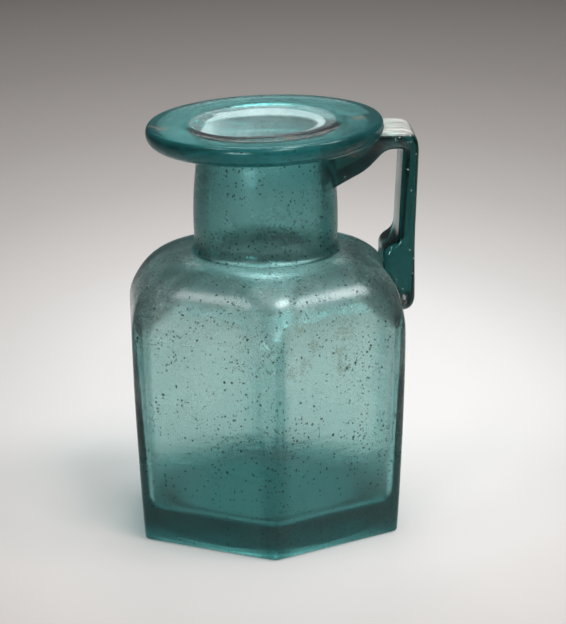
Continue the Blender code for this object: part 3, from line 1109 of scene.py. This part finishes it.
    def outside(self) -> list[Ring]:
        """Every ring of the outer skin, from the underside up to the rim's top."""
        heights = [self.side_height * step / 16 for step in range(1, 16)]
        rings = self.underside() + self.foot()
        rings += [self.side(height, ripple=self.outer_ripple) for height in heights]
        ripple, corner = self.outer_ripple, self.shoulder_corner
        top, neck = self.neck_foot_height, self.neck_foot + self.neck_fillet
        rings += self.shoulder(top, self.shoulder_apothem, neck, corner, ripple)
        return rings + self.neck_corner() + self.neck(0.0, self.outer_ripple) + self.rim()

    def pull(
        self, name: str, outside: Sequence[Ring], inside: Sequence[Ring] = ()
    ) -> bpy.types.Object:
        """Draws a closed skin through rings.

        Args:
            name: The object's name.
            outside: The rings of the outer skin, in order.
            inside: The rings of the hollow, which follow them.

        Returns:
            The object.
        """
        skin = GlassPull(name, outside[0].points(self.points))
        for ring in outside[1:]:
            skin.draw(ring.points(self.points))
        for ring in inside:
            skin.draw(ring.points(self.points), hollow=1.0)
        return skin.close()

    def build(self, skin: bpy.types.Material) -> bpy.types.Object:
        """Makes the vessel.

        Args:
            skin: Its material.

        Returns:
            The finished piece.
        """
        vessel = self.pull("bottle_vessel", self.outside() + self.mouth(), self.hollow())
        dress(vessel, skin)
        return vessel

    def envelope(self, gap: float) -> bpy.types.Object:
        """A closed copy of the outer skin, grown by a gap, that cuts what is set on the vessel."""
        cap = [self.rim_ring(self.funnel / 2, self.rim_top_rise - self.rim_dish)]
        envelope = self.pull("vessel_envelope", self.outside() + cap)
        swell(envelope, gap)
        return envelope


@dataclass
class StrapHandle:
    """The strap handle, drawn from the shoulder up, over a bend and in under the rim."""

    vessel: BlownVessel
    width: float = 0.0220
    foot_width: float = 0.0236
    toe_width: float = 0.0180
    thickness: float = 0.0060
    bend_thickness: float = 0.0072
    edge: float = 0.0028
    standoff: float = 0.0047
    overhang: float = 0.0120
    crown_rise: float = 0.0003
    bend_rounding: float = 0.0085
    under_length: float = 0.0118
    heel_dip: float = 0.0024
    heel_drop: float = 0.0215
    belly_reach: float = 0.0069
    belly_drop: float = 0.0072
    toe_rise: float = 0.0018
    toe_rounding: float = 0.0080
    web_rise: float = 0.0008
    web_reach: float = 0.0066
    web_rounding: float = 0.0028
    web_step: float = 0.0034
    inside_rounding: float = 0.0012
    gap: float = 0.0003
    corner_steps: int = 9
    edge_steps: int = 6

    ROUNDED_SHARE = 0.45
    SMOOTH_ANGLE = math.radians(35)

    def corners(self) -> list[tuple[float, ...]]:
        """The strap's corners from heel to toe.

        Returns:
            For each, the outer rail's x, z and rounding, the inner one's, and the width.
        """
        vessel = self.vessel
        heel = vessel.neck_offset + vessel.neck_top - vessel.neck_wall / 2
        crown = vessel.rim_height + self.crown_rise
        under = crown - self.bend_thickness
        bend = vessel.neck_offset + vessel.rim_radius + self.overhang
        back = vessel.shoulder_apothem + self.standoff
        web = vessel.neck_foot_height + self.web_rise
        web_end = vessel.shoulder_apothem - self.web_reach
        toe = vessel.side_height + self.toe_rise
        inside = bend - self.thickness
        front = back - self.thickness
        turn = bend - self.under_length
        belly = turn - self.belly_reach
        soft = self.web_rounding
        low = vessel.rim_height - self.heel_drop
        step = web + self.web_step
        return [
            (heel, crown - self.heel_dip, 0, heel, low, 0, self.width),
            (belly, crown, soft, belly, under - self.belly_drop, soft, self.width),
            (mixed(belly, bend, 0.15), crown, soft, turn, under, soft, self.width),
            (bend, crown, self.bend_rounding, inside, under, self.inside_rounding, self.width),
            (back, web + soft, self.toe_rounding, front, step, soft, self.foot_width),
            (back, mixed(web, toe, 0.4), soft, web_end, web, soft, self.foot_width),
            (back, toe, self.toe_rounding, web_end, mixed(toe, web, 0.3), soft, self.foot_width),
            (web_end, toe, 0, web_end, mixed(toe, web, 0.1), 0, self.toe_width),
        ]

    def path(self, corners: Sequence[tuple[Vector, float]]) -> list[Vector]:
        """A path through corners, each rounded by a parabola of its own length.

        Args:
            corners: Each corner's point, as x, half the width and z, and its rounding.

        Returns:
            The path's points.
        """
        path = [corners[0][0]]
        for (before, _), (corner, rounding), (after, _) in zip(corners, corners[1:], corners[2:]):
            ways = (before - corner, after - corner)
            start, end = (
                corner + way.normalized() * min(rounding, way.length * self.ROUNDED_SHARE)
                for way in ways
            )
            for step in range(self.corner_steps + 1):
                share = step / self.corner_steps
                bend = start * (1 - share) ** 2 + corner * 2 * share * (1 - share) + end * share**2
                path.append(bend)
        return path + [corners[-1][0]]

    def section(self, outer: Vector, inner: Vector) -> list[Vector]:
        """A flat section with rounded edges between a point of each rail.

        Args:
            outer: The outer rail's point, with half the width as its y.
            inner: The inner rail's point.

        Returns:
            The section's points.
        """
        middle = Vector(((outer.x + inner.x) / 2, 0.0, (outer.z + inner.z) / 2))
        across = Vector((outer.x, 0.0, outer.z)) - middle
        edge = min(self.edge, across.length * 0.9)
        points = []
        for quarter, (up, aside) in enumerate(((1, 1), (-1, 1), (-1, -1), (1, -1))):
            for step in range(self.edge_steps + 1):
                turn = math.radians(90 - 90 * (quarter + step / self.edge_steps))
                reach = up * (across.length - edge) + edge * math.sin(turn)
                shift = aside * (outer.y - edge) + edge * math.cos(turn)
                points.append(middle + across.normalized() * reach + Vector((0.0, shift, 0.0)))
        return points

    def build(self, skin: bpy.types.Material) -> bpy.types.Object:
        """Makes the handle and cuts both its ends to the vessel.

        Args:
            skin: Its material.

        Returns:
            The finished piece.
        """
        corners = self.corners()
        # A corner's y is half the strap's width there.
        outer = self.path([(Vector((c[0], c[6] / 2, c[1])), c[2]) for c in corners])
        inner = self.path([(Vector((c[3], c[6] / 2, c[4])), c[5]) for c in corners])
        sections = [self.section(*pair) for pair in zip(outer, inner)]
        pulled = GlassPull("bottle_handle", sections[0])
        for section in sections[1:]:
            pulled.draw(section)
        handle = pulled.close()
        envelope = self.vessel.envelope(self.gap)
        cut = handle.modifiers.new("seat", "BOOLEAN")
        cut.operation = "DIFFERENCE"
        cut.object = envelope
        activate(handle)
        bpy.ops.object.modifier_apply(modifier=cut.name)
        bpy.data.objects.remove(envelope)
        bpy.ops.object.shade_smooth_by_angle(angle=self.SMOOTH_ANGLE)
        dress(handle, skin)
        return handle


@dataclass
class FilmShell:
    """The film of soil, weathering and some painted light and shade on a finished piece, just clear
    of its glass.
    """

    lift: float = 0.00004
    mouth_foot: float = 0.108

    def build(
        self, piece: bpy.types.Object, name: str, film: bpy.types.Material
    ) -> bpy.types.Object:
        """Copies the piece's outer skin and lifts it off the glass.

        Args:
            piece: The finished piece.
            name: The film's name.
            film: Its material.

        Returns:
            The film.
        """
        activate(piece)
        bpy.ops.object.duplicate()
        skin = bpy.context.object
        skin.name = skin.data.name = name
        bpy.ops.object.mode_set(mode="EDIT")
        mesh = bmesh.from_edit_mesh(skin.data)
        mark = mesh.verts.layers.float.get(GlassPull.HOLLOW)
        below = self.mouth_foot
        choose(skin, lambda vertex: bool(mark and vertex[mark] > 0.5 and vertex.co.z < below))
        bpy.ops.mesh.delete(type="VERT")
        bpy.ops.object.mode_set(mode="OBJECT")
        swell(skin, self.lift)
        dress(skin, film)
        skin.visible_shadow = False
        return skin


@dataclass
class Studio:
    """The paper floor with a painted pool of light, the soft lights and the camera.

    Each tone of the paper's painted pool of light is a distance, a tone and a warmth.
    Each light is a name, a place, a size and a power in watts.
    """

    floor_reach: float = 1.35
    foot_gap: float = 0.0004
    eye: Vector = field(default_factory=lambda: Vector((-0.05368, -1.03363, 0.38393)))
    right: Vector = field(default_factory=lambda: Vector((0.99806, -0.06124, -0.01088)))
    up: Vector = field(default_factory=lambda: Vector((0.02793, 0.28501, 0.95812)))
    ahead: Vector = field(default_factory=lambda: Vector((0.0556, 0.9566, -0.2862)))
    focal_pixels: float = 3036.7
    frame_height: int = 624
    sensor: float = 36.0
    near_clip: float = 0.05
    far_clip: float = 20.0
    floor_rings: int = 5

    # Painted light: a pool of light painted on the paper, pale round the bottle and falling to dark
    # grey further out.
    PAPER_LIGHT_POOL = (
        (0.00, 0.80, 0.02),
        (0.10, 0.79, 0.03),
        (0.15, 0.75, 0.03),
        (0.23, 0.62, 0.05),
        (0.35, 0.48, 0.08),
        (0.48, 0.38, 0.10),
        (0.65, 0.30, 0.11),
        (0.85, 0.25, 0.11),
        (1.04, 0.18, 0.11),
        (1.30, 0.06, 0.11),
    )
    PAPER_REACH = 1.4
    LIGHT_POOL_CENTRE = (0.045, 0.145, 0.0)
    PAPER_STRETCH = (1.7, 1.0, 1.0)
    GREEN_WARMTH = 0.6
    LIGHTS = (
        ("front_softbox", (0.25, -0.95, 0.85), (0.4, 0.3), 3.0),
        ("back_softbox", (0.04, 0.80, 0.95), (0.35, 0.2), 2.4),
        ("strip_light", (0.05, 1.0, 0.62), (0.4, 0.04), 0.2),
        ("overhead_softbox", (0.1, 0.0, 1.5), (1.1, 0.9), 9.6),
        ("key_softbox", (0.37, -0.50, 1.34), (0.38, 0.30), 6.2),
        ("left_softbox", (-0.72, -0.32, 1.10), (0.45, 0.35), 2.4),
        ("right_softbox", (0.82, -0.25, 0.95), (0.45, 0.35), 3.8),
        ("fill_softbox", (-0.48, -0.88, 0.29), (0.3, 0.22), 2.2),
    )
    AIM = Vector((0.0, 0.0, 0.07))
    AIR_TONE = (1.0, 0.99, 0.985, 1.0)
    AIR_STRENGTH = 0.06

    def sweep(self) -> bpy.types.Object:
        """A round floor of paper."""
        deselect()
        bpy.ops.mesh.primitive_circle_add(vertices=96, radius=self.floor_reach, fill_type="NGON")
        sweep = bpy.context.object
        sweep.name = "studio_sweep"
        bpy.ops.object.mode_set(mode="EDIT")
        bpy.ops.mesh.select_all(action="SELECT")
        bpy.ops.transform.translate(value=(0.0, 0.0, -self.foot_gap))
        for _ in range(self.floor_rings):
            width = self.floor_reach / (self.floor_rings + 1.5)
            bpy.ops.mesh.inset(thickness=width, use_boundary=True)
        bpy.ops.mesh.select_all(action="SELECT")
        bpy.ops.mesh.normals_make_consistent(inside=True)
        bpy.ops.object.mode_set(mode="OBJECT")
        bpy.ops.object.shade_smooth()
        dress(sweep, self.paper())
        return sweep

    def paper(self) -> bpy.types.Material:
        """Matt paper with a painted pool of light: pale round the bottle and greyer further out."""
        material, nodes, shader, place = start_material("studio_paper_light_pool")
        place = nodes.moved(place, scale=self.PAPER_STRETCH)
        off = nodes.vector("DISTANCE", place, self.LIGHT_POOL_CENTRE)
        ramp = nodes.add("ValToRGB", {0: nodes.math("DIVIDE", off, self.PAPER_REACH)})
        elements = ramp.color_ramp.elements
        while len(elements) < len(self.PAPER_LIGHT_POOL):
            elements.new(0.5)
        for element, (position, tone, warmth) in zip(elements, self.PAPER_LIGHT_POOL):
            element.position = position / self.PAPER_REACH
            green = tone * (1 - warmth * self.GREEN_WARMTH)
            element.color = (tone, green, tone * (1 - warmth), 1.0)
        matt = {"Roughness": 0.9, "Specular IOR Level": 0.0}
        nodes.feed(shader, {"Base Color": ramp.outputs[0]} | matt)
        return material

    def lights(self) -> None:
        """Soft lights overhead, in front, behind and at the sides, and faint light all round."""
        for light in self.LIGHTS:
            self.softbox(*light)
        world = bpy.data.worlds.new("studio_air")
        world.use_nodes = True
        nodes = Nodes(world.node_tree)
        air = {"Color": self.AIR_TONE, "Strength": self.AIR_STRENGTH}
        nodes.feed(world.node_tree.nodes["Background"], air)
        bpy.context.scene.world = world

    def softbox(
        self, name: str, place: Sequence[float], size: tuple[float, float], power: float
    ) -> None:
        """An area light that looks at the bottle.

        Args:
            name: Its name.
            place: Where it is.
            size: Its width and height.
            power: Its power, in watts.
        """
        deselect()
        bpy.ops.object.light_add(type="AREA", location=place)
        light = bpy.context.object
        light.name = light.data.name = name
        light.data.shape = "RECTANGLE"
        light.data.size, light.data.size_y = size
        light.data.energy = power
        light.rotation_mode = "QUATERNION"
        light.rotation_quaternion = (self.AIM - Vector(place)).to_track_quat("-Z", "Y")
        light.visible_camera = False

    def camera(self) -> bpy.types.Object:
        """The camera at the photograph's place."""
        deselect()
        bpy.ops.object.camera_add()
        camera = bpy.context.object
        camera.name = "camera"
        camera.data.sensor_width = self.sensor
        camera.data.lens = self.focal_pixels * self.sensor / self.frame_height
        camera.data.clip_start = self.near_clip
        camera.data.clip_end = self.far_clip
        turn = Matrix((self.right, self.up, -self.ahead)).transposed().to_4x4()
        camera.matrix_world = Matrix.Translation(self.eye) @ turn
        bpy.context.scene.camera = camera
        return camera

    def build(self) -> None:
        """Sets up the floor, the lights and the camera."""
        self.sweep()
        self.lights()
        self.camera()
        bpy.context.scene.view_settings.view_transform = "Standard"


def main() -> None:
    """Builds the bottle and its studio."""
    logging.basicConfig(level=logging.INFO, format="%(name)s: %(message)s")
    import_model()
    Studio().build()
    groups = SurfaceGroups()
    vessel_form = BlownVessel()
    vessel = vessel_form.build(WornSkin("worn_glass").material(groups))
    handle = StrapHandle(vessel_form).build(StrapSkin("strap_glass").material(groups))
    # The film layers carry weathering and some painted light and shade.
    weathering = FilmShell()
    dulling_and_painted_light = VesselFilm("vessel_film").material(groups)
    vessel_film = weathering.build(vessel, "vessel_weathering_and_painted_light", dulling_and_painted_light)
    soiling_and_painted_light = StrapFilm("strap_film").material(groups)
    handle_film = weathering.build(handle, "handle_weathering_and_painted_light", soiling_and_painted_light)
    pieces = (vessel, handle, vessel_film, handle_film)
    for piece, node in zip(pieces, ("vessel", "handle") * 2):
        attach(piece, "root")
        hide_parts(node)
        LOG.info("%s stands for %s, %d faces", piece.name, node, len(piece.data.polygons))


if __name__ == "__main__":
    main()
